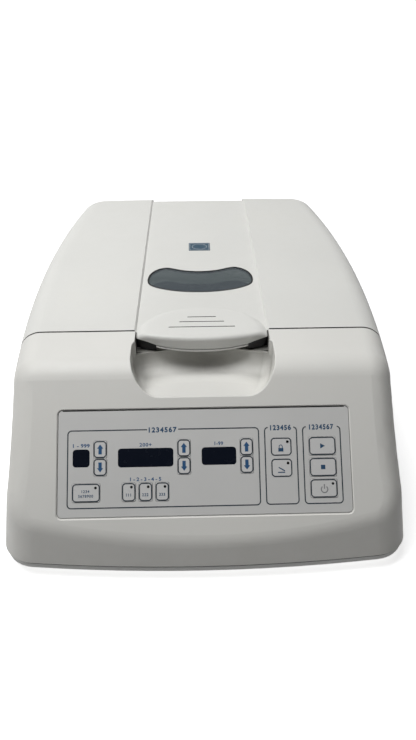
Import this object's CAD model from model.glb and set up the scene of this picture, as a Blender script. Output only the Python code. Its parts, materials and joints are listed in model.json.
import bpy
import bmesh
import json
import math
from mathutils import Matrix, Vector


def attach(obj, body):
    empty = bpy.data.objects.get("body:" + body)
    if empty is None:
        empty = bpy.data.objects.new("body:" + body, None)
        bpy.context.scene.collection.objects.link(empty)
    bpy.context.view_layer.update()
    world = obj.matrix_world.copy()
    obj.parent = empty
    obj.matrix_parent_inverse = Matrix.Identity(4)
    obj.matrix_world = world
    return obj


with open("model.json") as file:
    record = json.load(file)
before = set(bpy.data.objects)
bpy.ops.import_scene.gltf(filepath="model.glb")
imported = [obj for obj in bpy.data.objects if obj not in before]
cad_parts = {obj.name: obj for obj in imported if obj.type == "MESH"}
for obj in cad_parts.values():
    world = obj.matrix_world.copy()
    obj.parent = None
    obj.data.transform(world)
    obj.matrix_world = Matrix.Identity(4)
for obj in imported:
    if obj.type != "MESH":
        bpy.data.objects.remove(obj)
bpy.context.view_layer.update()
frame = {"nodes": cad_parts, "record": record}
NODES = frame["nodes"]
SLOT_OF = {s["node"]: s["material_slot"] for s in frame["record"]["subparts"]}
MM = 0.001


# ------------------------------------------------------------------ finishes
class Finish:
    """A procedural material with a few shorthand node calls."""

    def __init__(self, name):
        self.mat = bpy.data.materials.new(name)
        self.mat.use_nodes = True
        self.nt = self.mat.node_tree
        self.nt.nodes.clear()
        self.out = self.nt.nodes.new("ShaderNodeOutputMaterial")
        self.b = self.nt.nodes.new("ShaderNodeBsdfPrincipled")
        self.nt.links.new(self.b.outputs[0], self.out.inputs[0])
        tc = self.nt.nodes.new("ShaderNodeTexCoord")
        self.co = tc.outputs["Object"]

    def set(self, **kw):
        for k, v in kw.items():
            self.b.inputs[k.replace("_", " ")].default_value = v
        return self

    def link(self, a, b):
        self.nt.links.new(a, b)

    def mapping(self, scale=(1, 1, 1), rot=(0, 0, 0)):
        n = self.nt.nodes.new("ShaderNodeMapping")
        n.inputs["Scale"].default_value = scale
        n.inputs["Rotation"].default_value = rot
        self.link(self.co, n.inputs["Vector"])
        return n.outputs[0]

    def noise(self, scale, detail=3.0, rough=0.55, vec=None, distortion=0.0):
        n = self.nt.nodes.new("ShaderNodeTexNoise")
        n.inputs["Scale"].default_value = scale
        n.inputs["Detail"].default_value = detail
        n.inputs["Roughness"].default_value = rough
        n.inputs["Distortion"].default_value = distortion
        self.link(vec or self.co, n.inputs["Vector"])
        return n.outputs["Fac"]

    def voronoi(self, scale, vec=None, feature="F1"):
        n = self.nt.nodes.new("ShaderNodeTexVoronoi")
        n.feature = feature
        n.inputs["Scale"].default_value = scale
        self.link(vec or self.co, n.inputs["Vector"])
        return n.outputs["Distance"]

    def ramp(self, fac, stops):
        n = self.nt.nodes.new("ShaderNodeValToRGB")
        while len(n.color_ramp.elements) < len(stops):
            n.color_ramp.elements.new(0.5)
        for e, (p, c) in zip(n.color_ramp.elements, stops):
            e.position = p
            e.color = (*c, 1.0)
        self.link(fac, n.inputs["Fac"])
        return n.outputs["Color"]

    def span(self, fac, lo, hi, f0=0.3, f1=0.7):
        n = self.nt.nodes.new("ShaderNodeMapRange")
        n.inputs["From Min"].default_value = f0
        n.inputs["From Max"].default_value = f1
        n.inputs["To Min"].default_value = lo
        n.inputs["To Max"].default_value = hi
        self.link(fac, n.inputs["Value"])
        return n.outputs[0]

    def mix(self, fac, a, b, mode="MIX"):
        n = self.nt.nodes.new("ShaderNodeMix")
        n.data_type = "RGBA"
        n.blend_type = mode
        for s, v in ((n.inputs[0], fac), (n.inputs[6], a), (n.inputs[7], b)):
            if isinstance(v, bpy.types.NodeSocket):
                self.link(v, s)
            else:
                s.default_value = (*v, 1.0) if isinstance(v, tuple) else v
        return n.outputs[2]

    def math(self, op, a, b=0.0, c=None):
        n = self.nt.nodes.new("ShaderNodeMath")
        n.operation = op
        for i, v in enumerate((a, b) if c is None else (a, b, c)):
            if isinstance(v, bpy.types.NodeSocket):
                self.link(v, n.inputs[i])
            else:
                n.inputs[i].default_value = v
        return n.outputs[0]

    def xyz(self):
        n = self.nt.nodes.new("ShaderNodeSeparateXYZ")
        self.link(self.co, n.inputs[0])
        return n.outputs

    def bump(self, height, dist, strength=1.0, after=None):
        n = self.nt.nodes.new("ShaderNodeBump")
        n.inputs["Distance"].default_value = dist
        n.inputs["Strength"].default_value = strength
        self.link(height, n.inputs["Height"])
        if after is not None:
            self.link(after, n.inputs["Normal"])
        return n.outputs[0]

    def color(self, sock):
        self.link(sock, self.b.inputs["Base Color"])

    def rough(self, sock):
        self.link(sock, self.b.inputs["Roughness"])

    def normal(self, sock):
        self.link(sock, self.b.inputs["Normal"])


def shade(c, k):
    return tuple(max(0.0, min(1.0, v * k)) for v in c)


def tint(c, r, g, b):
    return (min(1, c[0] * r), min(1, c[1] * g), min(1, c[2] * b))


def moulded(name, base, rough=0.5, grain=2600.0, depth=0.00006, blotch=0.035, dust=0.0, spec=0.42, grime=(), foot=(), rim=()):
    """Moulded plastic with an eroded mould texture, slow shade drift, fine mottling and, on pale parts, dust low down."""
    f = Finish(name)
    slow = f.noise(7.0, 4.0, 0.6)
    mid = f.noise(55.0, 5.0, 0.6, distortion=0.4)
    fine = f.noise(grain * 0.6, 2.0, 0.5)
    c = f.ramp(slow, [(0.28, shade(base, 1 - blotch)), (0.52, base), (0.78, tint(shade(base, 1 + blotch * 0.4), 1.0, 0.996, 0.985))])
    c = f.mix(f.span(mid, 0.0, 0.16), c, tint(shade(base, 0.93), 1.0, 0.995, 0.97))
    c = f.mix(f.span(fine, 0.0, 0.10, 0.35, 0.65), c, shade(base, 0.9))
    if dust:
        z = f.xyz()[2]
        low = f.span(z, dust, 0.0, 0.0, 0.05)
        c = f.mix(f.math("MULTIPLY", low, f.span(mid, 0.3, 1.0, 0.35, 0.6)), c, tint(shade(base, 0.72), 1.0, 0.98, 0.94))
    for reach, lo, hi, k, dark in grime:
        # darker in gaps, grooves and sheltered corners: grime, and shade that the lights alone leave too pale
        ao = f.nt.nodes.new("ShaderNodeAmbientOcclusion")
        ao.samples = 12
        ao.inputs["Distance"].default_value = reach
        c = f.mix(f.span(ao.outputs["AO"], k, 0.0, lo, hi), c, tint(shade(base, dark), 1.0, 0.99, 0.94))
    if rim:
        # dark strip painted along the parting edge between case and lid, which the gap alone leaves too thin
        x, y, z = f.xyz()
        on = f.math("MULTIPLY", f.math("GREATER_THAN", y, rim[0]), f.math("LESS_THAN", y, rim[1]))
        away = f.math("MULTIPLY", f.math("GREATER_THAN", f.math("ABSOLUTE", x), 0.0705), f.math("GREATER_THAN", z, 0.121))
        c = f.mix(f.math("MULTIPLY", f.math("MULTIPLY", on, away), 0.85), c, tint(shade(base, 0.2), 1.0, 0.99, 0.95))
    if foot:
        # dark strip along the top of the tray, in the shadow gap below the case
        c = f.mix(f.span(f.xyz()[2], 0.0, 1.0, *foot), c, shade(base, 0.06))
    f.color(c)
    f.rough(f.span(f.math("ADD", slow, f.math("MULTIPLY", mid, 0.5)), rough - 0.06, rough + 0.07, 0.55, 0.95))
    cells = f.voronoi(grain)
    h = f.math("ADD", f.math("MULTIPLY", cells, 0.6), f.math("MULTIPLY", fine, 0.8))
    b0 = f.bump(slow, 0.0004, 0.10)
    f.normal(f.bump(h, depth, 0.55, after=b0))
    f.set(Specular_IOR_Level=spec, IOR=1.46)
    return f.mat


def film(name, base, rough=0.34, grain=3200.0, spec=0.5):
    """Hard-coated overlay film: very fine grain, faint drift, thin gloss."""
    f = Finish(name)
    slow = f.noise(14.0, 3.0)
    fine = f.noise(grain, 2.0)
    c = f.ramp(slow, [(0.3, shade(base, 0.97)), (0.7, shade(base, 1.02))])
    c = f.mix(f.span(fine, 0.0, 0.14), c, shade(base, 0.88))
    f.color(c)
    f.rough(f.span(f.noise(120.0, 4.0), rough - 0.05, rough + 0.08))
    f.normal(f.bump(f.voronoi(grain), 0.00003, 0.5))
    f.set(Specular_IOR_Level=spec)
    return f.mat


def ink(name, base):
    """Screen-printed ink, a little thin and broken at the finest scale."""
    f = Finish(name)
    n = f.noise(1500.0, 3.0, 0.6)
    f.color(f.ramp(n, [(0.3, shade(base, 0.86)), (0.55, base), (0.8, tint(shade(base, 1.14), 1.03, 1.02, 1.0))]))
    f.rough(f.span(f.noise(600.0, 3.0), 0.36, 0.52))
    f.normal(f.bump(n, 0.00001, 0.4))
    return f.mat


def brushed(name, base, rough=0.28, axis=(1, 1, 1), grain=700.0):
    """Brushed or rolled metal: long fine scratches along one way, soft stains, a few deeper marks."""
    f = Finish(name)
    v = f.mapping(axis)
    streak = f.noise(grain, 5.0, 0.7, vec=v)
    stain = f.noise(26.0, 4.0, 0.6)
    c = f.ramp(streak, [(0.25, shade(base, 0.82)), (0.55, base), (0.8, shade(base, 1.12))])
    c = f.mix(f.span(stain, 0.0, 0.22), c, tint(shade(base, 0.8), 1.0, 0.985, 0.95))
    f.color(c)
    f.rough(f.span(f.math("ADD", f.math("MULTIPLY", streak, 0.6), f.math("MULTIPLY", stain, 0.5)), rough - 0.08, rough + 0.14, 0.35, 0.75))
    f.normal(f.bump(streak, 0.00004, 0.4))
    f.set(Metallic=1.0)
    return f.mat


def blasted(name, base, rough=0.46):
    """Bead-blasted or cast alloy."""
    f = Finish(name)
    fine = f.noise(1500.0, 3.0)
    slow = f.noise(30.0, 4.0)
    f.color(f.mix(f.span(fine, 0.0, 0.3), f.ramp(slow, [(0.3, shade(base, 0.9)), (0.7, shade(base, 1.05))]), shade(base, 0.78)))
    f.rough(f.span(slow, rough - 0.06, rough + 0.08))
    f.normal(f.bump(f.math("ADD", f.voronoi(1800.0), fine), 0.00007, 0.55))
    f.set(Metallic=1.0)
    return f.mat


def zinc(name, base):
    """Bright zinc plate with its large pale crystal patches and a slightly golden bloom."""
    f = Finish(name)
    cell = f.voronoi(160.0)
    slow = f.noise(20.0, 4.0)
    c = f.ramp(cell, [(0.1, shade(base, 0.85)), (0.6, base), (1.0, shade(base, 1.1))])
    c = f.mix(f.span(slow, 0.0, 0.3), c, tint(base, 1.02, 0.97, 0.86))
    f.color(c)
    f.rough(f.span(cell, 0.26, 0.44, 0.1, 0.8))
    f.normal(f.bump(f.noise(1100.0, 3.0), 0.00003, 0.5))
    f.set(Metallic=1.0)
    return f.mat


def rubber(name, base, rough=0.72):
    f = Finish(name)
    fine = f.noise(1900.0, 4.0)
    slow = f.noise(40.0, 4.0)
    c = f.mix(f.span(slow, 0.0, 0.5), base, shade(base, 1.7))
    c = f.mix(f.span(fine, 0.0, 0.35, 0.5, 0.75), c, shade(base, 2.6))
    f.color(c)
    f.rough(f.span(slow, rough - 0.08, rough + 0.1))
    f.normal(f.bump(fine, 0.00008, 0.6))
    f.set(Specular_IOR_Level=0.3)
    return f.mat


def clear(name, base, rough, weight=1.0, ior=1.49, smear=0.06):
    """See-through sheet with faint wipe marks and dust in its roughness."""
    f = Finish(name)
    wipe = f.noise(18.0, 5.0, 0.6, vec=f.mapping((1.0, 3.5, 1.0)), distortion=0.8)
    dust = f.noise(900.0, 3.0)
    f.color(f.mix(f.span(wipe, 0.0, 0.12), base, shade(base, 0.9)))
    f.rough(f.math("ADD", f.span(wipe, rough, rough + smear), f.span(dust, 0.0, smear * 0.5, 0.6, 0.8)))
    f.normal(f.bump(wipe, 0.00002, 0.25))
    f.set(Transmission_Weight=weight, IOR=ior)
    return f.mat


def smoked(name, base, alpha, rough=0.06):
    """Thin tinted sheet that lets some light straight through, with faint wipe marks."""
    f = Finish(name)
    wipe = f.noise(16.0, 5.0, 0.6, vec=f.mapping((1.0, 3.5, 1.0)), distortion=0.8)
    dust = f.noise(1100.0, 3.0)
    c = f.mix(f.span(wipe, 0.0, 0.5), base, shade(base, 1.18))
    f.color(f.mix(f.span(dust, 0.0, 0.25, 0.58, 0.8), c, shade(base, 1.9)))
    f.rough(f.math("ADD", f.span(wipe, rough, rough + 0.07), f.span(dust, 0.0, 0.06, 0.6, 0.8)))
    f.normal(f.bump(wipe, 0.00002, 0.3))
    f.set(Alpha=alpha, IOR=1.49, Specular_IOR_Level=0.5)
    return f.mat


def board(name):
    """Circuit board: green resist over squared copper runs, with pale pads."""
    f = Finish(name)
    v = f.mapping((1, 1, 1))
    n = f.nt.nodes.new("ShaderNodeTexBrick")
    n.inputs["Scale"].default_value = 90.0
    n.inputs["Mortar Size"].default_value = 0.05
    n.inputs["Color1"].default_value = (0.010, 0.085, 0.035, 1)
    n.inputs["Color2"].default_value = (0.014, 0.12, 0.05, 1)
    n.inputs["Mortar"].default_value = (0.03, 0.2, 0.09, 1)
    f.link(v, n.inputs["Vector"])
    pads = f.voronoi(210.0)
    c = f.mix(f.math("LESS_THAN", pads, 0.16), n.outputs["Color"], (0.55, 0.5, 0.4))
    f.color(c)
    f.rough(f.span(f.noise(300.0), 0.25, 0.4))
    f.normal(f.bump(n.outputs["Fac"], 0.00005, 0.5))
    return f.mat


M = {}
M["case_plastic"] = moulded("case_plastic", (0.712, 0.707, 0.676), rough=0.50, dust=0.18, grime=((0.040, 0.42, 0.76, 0.92, 0.25), (0.004, 0.2, 0.6, 0.9, 0.2)), rim=(-0.11885, -0.11803))
M["lid_plastic"] = moulded("lid_plastic", (0.700, 0.700, 0.672), rough=0.47, grime=((0.004, 0.42, 0.78, 0.95, 0.10),), rim=(-0.11652, -0.11615))
M["tray_plastic"] = moulded("tray_plastic", (0.80, 0.805, 0.79), rough=0.62, spec=0.2, foot=(0.0150, 0.0158))
M["liner_plastic"] = moulded("liner_plastic", (0.034, 0.034, 0.034), rough=0.55, blotch=0.12)
M["paddle_plastic"] = moulded("paddle_plastic", (0.70, 0.695, 0.67), rough=0.45)
M["panel_film"] = film("panel_film", (0.630, 0.630, 0.618))
M["key_film"] = film("key_film", (0.655, 0.655, 0.648), rough=0.3)
M["display_glass"] = film("display_glass", (0.004, 0.0065, 0.014), rough=0.22, grain=900.0, spec=0.25)
M["led"] = film("led", (0.008, 0.008, 0.009), rough=0.2)
M["label_film"] = film("label_film", (0.016, 0.062, 0.104), rough=0.35, spec=0.3)
M["smoked_glass"] = smoked("smoked_glass", (0.115, 0.135, 0.150), 0.52)
M["clear_plastic"] = clear("clear_plastic", (0.86, 0.89, 0.89), 0.04)
M["slide_glass"] = clear("slide_glass", (0.86, 0.94, 0.92), 0.02, ior=1.52, smear=0.03)
M["seal_rubber"] = rubber("seal_rubber", (0.012, 0.012, 0.012))
M["foot_rubber"] = rubber("foot_rubber", (0.018, 0.018, 0.018))
M["stainless"] = brushed("stainless", (0.60, 0.595, 0.58), axis=(1, 1, 14))
M["zinc_steel"] = zinc("zinc_steel", (0.56, 0.57, 0.58))
M["cast_alloy"] = blasted("cast_alloy", (0.56, 0.565, 0.57))
M["black_steel"] = moulded("black_steel", (0.02, 0.02, 0.021), rough=0.4, grain=900.0, depth=0.0001, blotch=0.1)
M["head_polymer"] = moulded("head_polymer", (0.05, 0.055, 0.06), rough=0.42, blotch=0.08)
M["chamber_polymer"] = moulded("chamber_polymer", (0.66, 0.70, 0.70), rough=0.4)
M["board"] = board("board")
M["knob_plastic"] = moulded("knob_plastic", (0.014, 0.014, 0.014), rough=0.4, blotch=0.1)
M["module_plastic"] = moulded("module_plastic", (0.014, 0.014, 0.015), rough=0.48, blotch=0.1)
M["switch_plastic"] = moulded("switch_plastic", (0.011, 0.011, 0.012), rough=0.24, grain=900.0, depth=0.00002, blotch=0.1)
SLATE = ink("ink_slate", (0.024, 0.036, 0.050))
BLUE = ink("ink_blue", (0.022, 0.090, 0.215))
DARK_BLUE = ink("ink_dark_blue", (0.022, 0.072, 0.150))
BLACK = ink("ink_black", (0.006, 0.006, 0.007))
GREY = ink("ink_grey", (0.26, 0.265, 0.27))
PALE = ink("ink_pale", (0.55, 0.60, 0.64))

for name, ob in NODES.items():
    ob.data.materials.clear()
    ob.data.materials.append(M[SLOT_OF[name]])

# the lid's front edge lies in shade inside the parting gap
EDGE = moulded("gap_shade", (0.030, 0.030, 0.028), rough=0.8, spec=0.1)
lid_mesh = NODES["lid_shell"].data
lid_mesh.materials.append(EDGE)
for face in lid_mesh.polygons:
    if face.normal.y < -0.98 and abs(face.center.y - (0.170 - 0.2865)) < 0.0004 and abs(face.center.x) > 0.0705:
        face.material_index = 1


# ------------------------------------------------------------------ prints
FAS = math.radians(51.83)
S, C = math.sin(FAS), math.cos(FAS)
PO = Vector((-0.140, 0.082 - 0.2865, 0.1447))
PU, PW, PN = Vector((1, 0, 0)), Vector((0, -C, -S)), Vector((0, -S, C))
LEVEL = {"panel": -1.0, "key": -0.6, "status": -0.9, "display": -1.1}


def panel_map(u, w, n):
    """Point on the key panel: u to the right, w down the slope, n out of it, in mm from its top left corner."""
    return PO + PU * (u * MM) + PW * (w * MM) + PN * (n * MM)


LSL = math.radians(6.5)
LO = Vector((0, (374.0 - 286.5) * MM, 0.179 + (374.0 - 109.0) * MM * math.tan(LSL)))
LV, LN = Vector((0, math.cos(LSL), math.sin(LSL))), Vector((0, -math.sin(LSL), math.cos(LSL)))


def lid_map(u, w, n):
    """Point on the lid's slope about the label: u to the right, w down towards the front, n out of it, in mm."""
    return LO + Vector((u * MM, 0, 0)) - LV * (w * MM) + LN * (n * MM)


class Print:
    """Collects flat shapes and makes one thin raised print of them."""

    def __init__(self, level, where=panel_map, thick=0.035):
        self.v, self.f = [], []
        self.n0, self.n1, self.where = level - 0.03, level + thick, where

    def _pt(self, u, w, n):
        self.v.append(self.where(u, w, n))
        return len(self.v) - 1

    def area(self, pts):
        """Filled outline, given anticlockwise or clockwise."""
        a = sum(p[0] * q[1] - q[0] * p[1] for p, q in zip(pts, pts[1:] + pts[:1]))
        if a > 0:
            pts = pts[::-1]
        top = [self._pt(u, w, self.n1) for u, w in pts]
        low = [self._pt(u, w, self.n0) for u, w in pts]
        self.f.append(top)
        self.f.append(low[::-1])
        k = len(pts)
        for i in range(k):
            j = (i + 1) % k
            self.f.append([top[i], low[i], low[j], top[j]])

    def line(self, pts, width, closed=False):
        """Stroke of even width along a path."""
        h, k = width / 2, len(pts)
        left, right = [], []
        for i, (x, y) in enumerate(pts):
            a = pts[i - 1] if (i or closed) else pts[i]
            b = pts[(i + 1) % k] if (i < k - 1 or closed) else pts[i]
            d1, d2 = Vector((x - a[0], y - a[1])), Vector((b[0] - x, b[1] - y))
            d1 = d1.normalized() if d1.length > 1e-9 else d2.normalized()
            d2 = d2.normalized() if d2.length > 1e-9 else d1
            t = (d1 + d2).normalized()
            m = h / max(0.35, t.dot(d1))
            left.append((x - t.y * m, y + t.x * m))
            right.append((x + t.y * m, y - t.x * m))
        lt = [self._pt(u, w, self.n1) for u, w in left]
        rt = [self._pt(u, w, self.n1) for u, w in right]
        lb = [self._pt(u, w, self.n0) for u, w in left]
        rb = [self._pt(u, w, self.n0) for u, w in right]
        for i in range(k if closed else k - 1):
            j = (i + 1) % k
            self.f += [[lt[i], lt[j], rt[j], rt[i]], [lb[i], rb[i], rb[j], lb[j]], [lt[i], lb[i], lb[j], lt[j]], [rt[i], rt[j], rb[j], rb[i]]]
        if not closed:
            self.f += [[lt[0], rt[0], rb[0], lb[0]], [lt[-1], lb[-1], rb[-1], rt[-1]]]

    def text(self, string, u, w, high, bold=0.012, wide=1.0, gap=1.0):
        """Plain numbers, centred, with this height of figure."""
        cu = bpy.data.curves.new("figures", "FONT")
        cu.body, cu.size, cu.align_x, cu.align_y = string, 1.0, "CENTER", "CENTER"
        cu.offset, cu.space_character, cu.resolution_u = bold, gap, 4
        cu.extrude = 0.5
        ob = bpy.data.objects.new("figures", cu)
        bpy.context.scene.collection.objects.link(ob)
        bpy.context.view_layer.update()
        me = bpy.data.meshes.new_from_object(ob.evaluated_get(bpy.context.evaluated_depsgraph_get()))
        bm = bmesh.new()
        bm.from_mesh(me)
        bmesh.ops.remove_doubles(bm, verts=bm.verts, dist=1e-5)
        k = high / 0.69
        xs = [v.co.x for v in bm.verts]
        ys = [v.co.y for v in bm.verts]
        cx, cy = (min(xs) + max(xs)) / 2, (min(ys) + max(ys)) / 2
        base = len(self.v)
        for v in bm.verts:
            self.v.append(self.where(u + (v.co.x - cx) * k * wide, w - (v.co.y - cy) * k, self.n1 if v.co.z > 0 else self.n0))
        bm.verts.index_update()
        for f in bm.faces:
            self.f.append([base + v.index for v in f.verts])
        bm.free()
        bpy.data.meshes.remove(me)
        bpy.data.objects.remove(ob)
        bpy.data.curves.remove(cu)

    def make(self, name, material, body, slot=None):
        me = bpy.data.meshes.new(name)
        me.from_pydata([tuple(v) for v in self.v], [], self.f)
        bm = bmesh.new()
        bm.from_mesh(me)
        bmesh.ops.recalc_face_normals(bm, faces=bm.faces)
        bm.to_mesh(me)
        bm.free()
        me.materials.append(material)
        ob = bpy.data.objects.new(name, me)
        bpy.context.scene.collection.objects.link(ob)
        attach(ob, body)
        return ob


def arc(cx, cy, r, a0, a1, n=8):
    return [(cx + r * math.cos(math.radians(a0 + (a1 - a0) * i / n)), cy + r * math.sin(math.radians(a0 + (a1 - a0) * i / n))) for i in range(n + 1)]


def round_box(u0, w0, u1, w1, r, n=8):
    """Closed rounded outline."""
    return arc(u0 + r, w0 + r, r, 180, 270, n) + arc(u1 - r, w0 + r, r, 270, 360, n) + arc(u1 - r, w1 - r, r, 0, 90, n) + arc(u0 + r, w1 - r, r, 90, 180, n)


def open_box(u0, w0, u1, w1, r, g0, g1):
    """Rounded outline, open along the top between g0 and g1."""
    right = [(g1, w0)] + arc(u1 - r, w0 + r, r, 270, 360) if g1 < u1 - r else arc(u1 - r, w0 + r, r, 270 + math.degrees(math.asin((g1 - u1 + r) / r)), 360)
    left = arc(u0 + r, w0 + r, r, 180, 270) + [(g0, w0)] if g0 > u0 + r else arc(u0 + r, w0 + r, r, 180, 270 - math.degrees(math.asin((u0 + r - g0) / r)))
    return right + arc(u1 - r, w1 - r, r, 0, 90) + arc(u0 + r, w1 - r, r, 90, 180) + left


KEYS = {
    "key_program_up": (33.8, 29.5, 46.5, 45.8),
    "key_program_down": (33.8, 46.3, 46.5, 62.6),
    "key_speed_up": (113.9, 29.5, 126.5, 45.8),
    "key_speed_down": (113.9, 46.3, 126.5, 62.6),
    "key_time_up": (174.0, 29.5, 186.6, 45.8),
    "key_time_down": (174.0, 46.3, 186.6, 62.6),
    "key_save": (13.7, 69.6, 40.2, 87.0),
    "key_ramp_1": (60.9, 69.6, 73.8, 87.0),
    "key_ramp_2": (76.8, 69.6, 89.7, 87.0),
    "key_ramp_3": (92.7, 69.6, 105.6, 87.0),
    "key_start": (240.4, 29.5, 266.2, 46.9),
    "key_stop": (240.4, 49.6, 266.2, 67.0),
    "key_power": (240.4, 69.7, 266.2, 87.1),
}
STATUS = [(203.6, 29.5, 223.8, 46.9), (203.6, 49.6, 223.8, 67.0)]
LINE = 1.12

p = Print(LEVEL["panel"])
p.line(open_box(9.2, 19.6, 192.3, 92.6, 3.6, 85.0, 115.0), LINE)
p.line(open_box(198.2, 19.6, 229.0, 92.3, 3.4, 201.4, 226.0), LINE)
p.line(open_box(235.0, 19.6, 271.2, 92.4, 3.4, 238.2, 268.2), LINE)
p.make("panel_print_outlines", SLATE, "case")

p = Print(LEVEL["panel"])
p.text("1234567", 100.0, 19.9, 4.5, bold=0.040, wide=1.02, gap=1.22)
p.text("123456", 213.7, 19.9, 4.5, bold=0.040, wide=0.94, gap=1.18)
p.text("1234567", 253.2, 19.9, 4.5, bold=0.040, wide=0.92, gap=1.18)
p.make("panel_print_headings", DARK_BLUE, "case")

p = Print(LEVEL["panel"])
p.text("1 - 999", 22.1, 33.9, 3.2, bold=0.030, wide=1.15, gap=1.1)
p.text("200+", 83.5, 33.9, 3.2, bold=0.030, wide=1.1, gap=1.15)
p.text("1-99", 153.8, 33.9, 3.2, bold=0.030, gap=1.1)
p.text("1 - 2 - 3 - 4 - 5", 83.4, 66.4, 3.2, bold=0.030, wide=1.1, gap=1.0)
p.make("panel_print_numbers", BLUE, "case")

# rounded inner corners of the film over the three displays, and the dark gap above the panel
p = Print(LEVEL["panel"], thick=0.05)
for u0, w0, u1, w1 in ((14.0, 37.4, 30.1, 54.2), (57.1, 37.2, 110.0, 55.0), (137.2, 37.4, 170.3, 54.2)):
    for cu, cw, du, dw in ((u0, w0, 1, 1), (u1, w0, -1, 1), (u1, w1, -1, -1), (u0, w1, 1, -1)):
        r = 3.0
        bend = [(cu + du * (r - r * math.sin(math.radians(a))), cw + dw * (r - r * math.cos(math.radians(a)))) for a in range(0, 91, 10)]
        p.area([(cu - du * 0.3, cw - dw * 0.3), (cu + du * r, cw - dw * 0.3)] + bend + [(cu - du * 0.3, cw + dw * r)])
p.make("panel_film_corners", M["panel_film"], "case", "panel_film")
p = Print(LEVEL["panel"], thick=0.02)
p.line([(4.0, 0.48), (276.0, 0.48)], 0.9)
p.make("panel_gap_top", BLACK, "case")


def cap_ring(pr, box, r=3.7, inset=0.12):
    u0, w0, u1, w1 = box
    k = inset + LINE / 2
    pr.line(round_box(u0 + k, w0 + k, u1 - k, w1 - k, r - k), LINE, closed=True)


def disc(pr, u, w, r, n=28):
    pr.area([(u + r * math.cos(2 * math.pi * i / n), w + r * math.sin(2 * math.pi * i / n)) for i in range(n)])


for name, box in KEYS.items():
    ring = Print(LEVEL["key"])
    cap_ring(ring, box)
    ring.make(name + "_outline", SLATE, name)
    u, w = (box[0] + box[2]) / 2, (box[1] + box[3]) / 2
    sign = Print(LEVEL["key"])
    ink_used = BLUE
    if name.endswith("_up") or name.endswith("_down"):
        d = -1 if name.endswith("_up") else 1
        sign.area([(u, w + d * 4.8), (u + 3.0, w + d * 0.8), (u + 1.6, w + d * 0.8), (u + 1.6, w - d * 4.6), (u - 1.6, w - d * 4.6), (u - 1.6, w + d * 0.8), (u - 3.0, w + d * 0.8)])
    elif name == "key_save":
        sign.text("1234", u - 0.5, w - 1.4, 2.5, bold=0.024, gap=1.15)
        sign.text("5678900", u - 0.3, w + 3.0, 2.5, bold=0.024, gap=1.15)
        ink_used = DARK_BLUE
    elif name.startswith("key_ramp"):
        sign.text(name[-1] * 3, u - 0.2, w + 2.6, 2.6, bold=0.026, gap=1.1)
        ink_used = DARK_BLUE
    elif name == "key_start":
        sign.area([(u - 2.0, w - 2.5), (u + 2.6, w), (u - 2.0, w + 2.5)])
        ink_used = DARK_BLUE
    elif name == "key_stop":
        sign.area([(u - 2.1, w - 2.1), (u + 2.1, w - 2.1), (u + 2.1, w + 2.1), (u - 2.1, w + 2.1)])
        ink_used = DARK_BLUE
    else:
        sign.line(arc(u + 0.4, w + 0.9, 3.1, -52, 232, 28), 1.05)
        sign.line([(u + 0.4, w - 4.0), (u + 0.4, w + 0.4)], 1.05)
        ink_used = GREY
    sign.make(name + "_sign", ink_used, name)

for name, (u, w) in {"key_save": (35.9, 73.7), "key_ramp_1": (69.9, 73.6), "key_ramp_2": (85.8, 73.6), "key_ramp_3": (101.7, 73.6), "key_power": (262.0, 74.0)}.items():
    dot = Print(LEVEL["key"], thick=0.06)
    disc(dot, u, w, 1.3)
    dot.make(name + "_lamp", BLACK, name, "led")

for i, box in enumerate(STATUS):
    ring = Print(LEVEL["status"])
    cap_ring(ring, box)
    ring.make(f"status_outline_{i + 1}", SLATE, "case")
    u, w = (box[0] + box[2]) / 2 - 0.4, (box[1] + box[3]) / 2 + 2.1
    sign = Print(LEVEL["status"])
    if i == 0:
        sign.area([(u - 2.4, w - 0.8), (u + 2.4, w - 0.8), (u + 2.4, w + 2.6), (u - 2.4, w + 2.6)])
        sign.line([(u - 1.5, w - 0.7), (u - 1.5, w - 2.2)] + arc(u, w - 2.2, 1.5, 180, 360, 12) + [(u + 1.5, w - 0.7)], 0.7)
    else:
        sign.line([(u - 3.4, w + 2.2), (u + 3.4, w + 2.2)], 1.0)
        sign.line([(u + 3.2, w + 0.9), (u - 2.6, w - 2.6)], 1.0)
    sign.make(f"status_sign_{i + 1}", DARK_BLUE, "case")

# label on the lid: plain, with pale rules round its edge
p = Print(-2.35, where=lid_map)
p.line(round_box(-12.7, -10.2, 12.7, 10.2, 0.8), 0.42, closed=True)
p.line([(9.6 * math.cos(math.radians(a)), 7.6 * math.sin(math.radians(a))) for a in range(0, 360, 8)], 0.42, closed=True)
p.make("lid_label_rules", PALE, "lid")


# ------------------------------------------------------------------ window collar
def closed_spline(pts, n):
    """Smooth closed curve through points, with its outward side."""
    q = [Vector(p) for p in pts]
    k = len(q)
    h = [(q[(i + 1) % k] - q[i]).length for i in range(k)]
    a = [[0.0] * k for _ in range(k)]
    r = [Vector((0, 0)) for _ in range(k)]
    for i in range(k):
        p, m = (i - 1) % k, (i + 1) % k
        a[i][p] += h[p]
        a[i][i] += 2 * (h[p] + h[i])
        a[i][m] += h[i]
        r[i] = 6 * ((q[m] - q[i]) / h[i] - (q[i] - q[p]) / h[p])
    for i in range(k):
        f = a[i][i]
        a[i] = [v / f for v in a[i]]
        r[i] = r[i] / f
        for j in range(k):
            if j != i and a[j][i]:
                g = a[j][i]
                a[j] = [u - g * v for u, v in zip(a[j], a[i])]
                r[j] = r[j] - g * r[i]
    out = []
    for i in range(k):
        m = (i + 1) % k
        for s in range(n):
            t = s / n
            u = 1 - t
            out.append(q[i] * u + q[m] * t + h[i] * h[i] / 6 * ((u ** 3 - u) * r[i] + (t ** 3 - t) * r[m]))
    k = len(out)
    side = []
    for i in range(k):
        d = (out[(i + 1) % k] - out[i - 1]).normalized()
        side.append(Vector((-d.y, d.x)))
    return out, side


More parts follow.
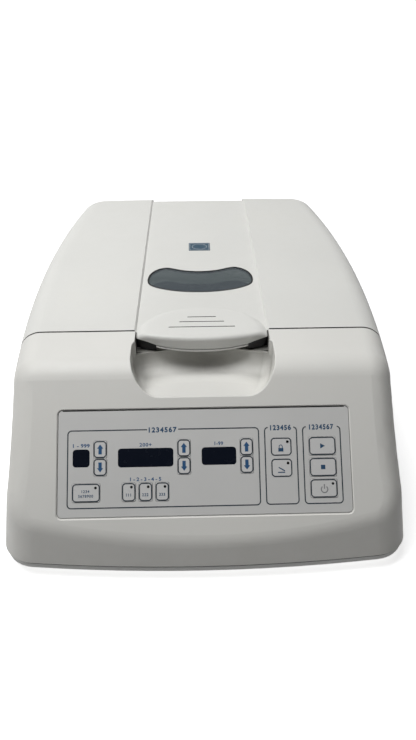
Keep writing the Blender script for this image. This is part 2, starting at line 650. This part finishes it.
HALF = [(0, 253.2), (22, 254.8), (41.5, 259.8), (54.3, 266.0), (61.3, 272.6), (63.8, 281.0), (63.8, 289.5), (61.4, 300.0),
        (55.2, 309.5), (43, 315.9), (33.5, 313.8), (23, 309.3), (11.3, 306.6), (0, 305.7)]
WINDOW = HALF + [(-x, y) for x, y in HALF[-2:0:-1]]
ring, side = closed_spline(WINDOW, 8)
if sum(a.x * b.y - b.x * a.y for a, b in zip(ring, ring[1:] + ring[:1])) > 0:
    side = [-v for v in side]
cb = bmesh.new()
loops = []
for off, at_top in ((0.25, False), (0.25, True), (0.75, True), (0.75, False)):
    vs = []
    for c, d in zip(ring, side):
        x, y = c.x + d.x * off, c.y + d.y * off
        z = 179.0 + (y - 109.0) * math.tan(LSL) - 5.35 / math.cos(LSL) if at_top else 181.4
        vs.append(cb.verts.new((x * MM, (y - 286.5) * MM, z * MM)))
    loops.append(vs)
for la, lb in zip(loops, loops[1:] + loops[:1]):
    for i in range(len(la)):
        j = (i + 1) % len(la)
        cb.faces.new((la[i], la[j], lb[j], lb[i])).smooth = True
bmesh.ops.recalc_face_normals(cb, faces=cb.faces)
cm = bpy.data.meshes.new("window_collar")
cb.to_mesh(cm)
cb.free()
inner = moulded("collar_plastic", (0.60, 0.64, 0.60), rough=0.5)
pb = next(n for n in inner.node_tree.nodes if n.type == "BSDF_PRINCIPLED")
pb.inputs["Emission Color"].default_value = (0.80, 1.0, 0.82, 1.0)
pb.inputs["Emission Strength"].default_value = 0.095
cm.materials.append(inner)
collar = bpy.data.objects.new("window_collar", cm)
bpy.context.scene.collection.objects.link(collar)
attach(collar, "lid")


# ------------------------------------------------------------------ stage
def area_light(name, loc, target, size, power, color=(1, 1, 1), size_y=None, spread=math.pi):
    li = bpy.data.lights.new(name, "AREA")
    li.shape = "RECTANGLE"
    li.size, li.size_y = size, size_y or size
    li.energy, li.color, li.spread = power, color, spread
    ob = bpy.data.objects.new(name, li)
    bpy.context.scene.collection.objects.link(ob)
    ob.location = loc
    ob.rotation_mode = "QUATERNION"
    ob.rotation_quaternion = (Vector(target) - Vector(loc)).to_track_quat("-Z", "Y")
    return ob


# floor that sweeps up into a backdrop far behind the object
bm = bmesh.new()
prof = [(y, 0.0) for y in (-6.0, -3.0, -1.5, 0.0, 1.5, 3.0, 4.5)]
prof += [(4.5 + 2.0 * math.sin(math.radians(d)), 2.0 - 2.0 * math.cos(math.radians(d))) for d in range(6, 91, 6)] + [(6.5, 4.5)]
rows = [[bm.verts.new((x, y, z)) for x in (-7.0, -3.5, -1.5, 0.0, 1.5, 3.5, 7.0)] for y, z in prof]
for r0, r1 in zip(rows, rows[1:]):
    for i in range(6):
        bm.faces.new((r0[i], r0[i + 1], r1[i + 1], r1[i])).smooth = True
fm = bpy.data.meshes.new("floor")
bm.to_mesh(fm)
bm.free()
floor = bpy.data.objects.new("floor", fm)
bpy.context.scene.collection.objects.link(floor)
ff = Finish("floor_pale")
ff.color(ff.ramp(ff.noise(1.2, 3.0), [(0.3, (0.84, 0.84, 0.84)), (0.7, (0.86, 0.86, 0.86))]))
ff.rough(ff.span(ff.noise(30.0, 3.0), 0.8, 0.95))
ff.set(Specular_IOR_Level=0.1, Emission_Color=(1.0, 1.0, 1.0, 1.0))
fd = ff.nt.nodes.new("ShaderNodeVectorMath")
fd.operation = "LENGTH"
ff.link(ff.co, fd.inputs[0])
ff.link(ff.span(fd.outputs["Value"], 0.64, 1.0, 0.55, 1.6), ff.b.inputs["Emission Strength"])
fm.materials.append(ff.mat)
floor.visible_diffuse = False

# pale surround, seen only directly, so that the other views have the same background
bm = bmesh.new()
bmesh.ops.create_uvsphere(bm, u_segments=48, v_segments=24, radius=6.9)
sm = bpy.data.meshes.new("surround")
bm.to_mesh(sm)
bm.free()
surround = bpy.data.objects.new("surround", sm)
bpy.context.scene.collection.objects.link(surround)
sf = Finish("surround_pale")
sf.color(sf.ramp(sf.noise(0.4, 2.0), [(0.3, (0.02, 0.02, 0.02)), (0.7, (0.03, 0.03, 0.03))]))
sf.set(Roughness=1.0, Specular_IOR_Level=0.0, Emission_Color=(1.0, 1.0, 1.0, 1.0), Emission_Strength=1.0)
sm.materials.append(sf.mat)
surround.visible_diffuse = False
surround.visible_glossy = False
surround.visible_transmission = False
surround.visible_volume_scatter = False
surround.visible_shadow = False

world = bpy.data.worlds.new("studio")
bpy.context.scene.world = world
world.use_nodes = True
wt = world.node_tree
wt.nodes.clear()
wo = wt.nodes.new("ShaderNodeOutputWorld")
bg = wt.nodes.new("ShaderNodeBackground")
tcw = wt.nodes.new("ShaderNodeTexCoord")
sep = wt.nodes.new("ShaderNodeSeparateXYZ")
rmp = wt.nodes.new("ShaderNodeValToRGB")
mr = wt.nodes.new("ShaderNodeMapRange")
mr.inputs["From Min"].default_value = -1.0
mr.inputs["From Max"].default_value = 1.0
wt.links.new(tcw.outputs["Generated"], sep.inputs[0])
wt.links.new(sep.outputs[2], mr.inputs["Value"])
wt.links.new(mr.outputs[0], rmp.inputs["Fac"])
wt.links.new(rmp.outputs[0], bg.inputs["Color"])
wt.links.new(bg.outputs[0], wo.inputs[0])
els = rmp.color_ramp.elements
els[0].position, els[0].color = 0.0, (0.88, 0.865, 0.85, 1)
els[1].position, els[1].color = 1.0, (0.30, 0.30, 0.30, 1)
for pos, v in ((0.34, 0.84), (0.42, 0.20), (0.50, 0.05), (0.76, 0.06)):
    e = els.new(pos)
    e.color = (v, v, v, 1)
mx = wt.nodes.new("ShaderNodeMath")
mx.operation = "MULTIPLY_ADD"
mx.inputs[1].default_value, mx.inputs[2].default_value = -0.50, 0.68
wt.links.new(sep.outputs[0], mx.inputs[0])
wt.links.new(mx.outputs[0], bg.inputs["Strength"])

area_light("overhead", (-0.48, -0.16, 1.70), (0, -0.04, 0.12), 1.0, 27.5)

cam = bpy.data.cameras.new("camera")
co = bpy.data.objects.new("camera", cam)
bpy.context.scene.collection.objects.link(co)
cam.sensor_width = 36.0
cam.lens = 598.7 / 740.0 * 36.0
yaw, pitch, roll = 0.0214, math.radians(30.46), -0.0062
fwd = Vector((math.sin(yaw) * math.cos(pitch), math.cos(yaw) * math.cos(pitch), -math.sin(pitch)))
rgt = Vector((math.cos(yaw), -math.sin(yaw), 0.0))
up = rgt.cross(fwd)
rx = rgt * math.cos(roll) + up * math.sin(roll)
ux = -rgt * math.sin(roll) + up * math.cos(roll)
m = Matrix(((rx.x, ux.x, -fwd.x), (rx.y, ux.y, -fwd.y), (rx.z, ux.z, -fwd.z)))
co.matrix_world = Matrix.Translation((-0.006, -0.6847, 0.470)) @ m.to_4x4()
cam.clip_start, cam.clip_end = 0.02, 60.0
bpy.context.scene.camera = co

sc = bpy.context.scene
sc.view_settings.view_transform = "Standard"
sc.view_settings.look = "None"
sc.view_settings.exposure = 0.0
sc.view_settings.gamma = 1.0
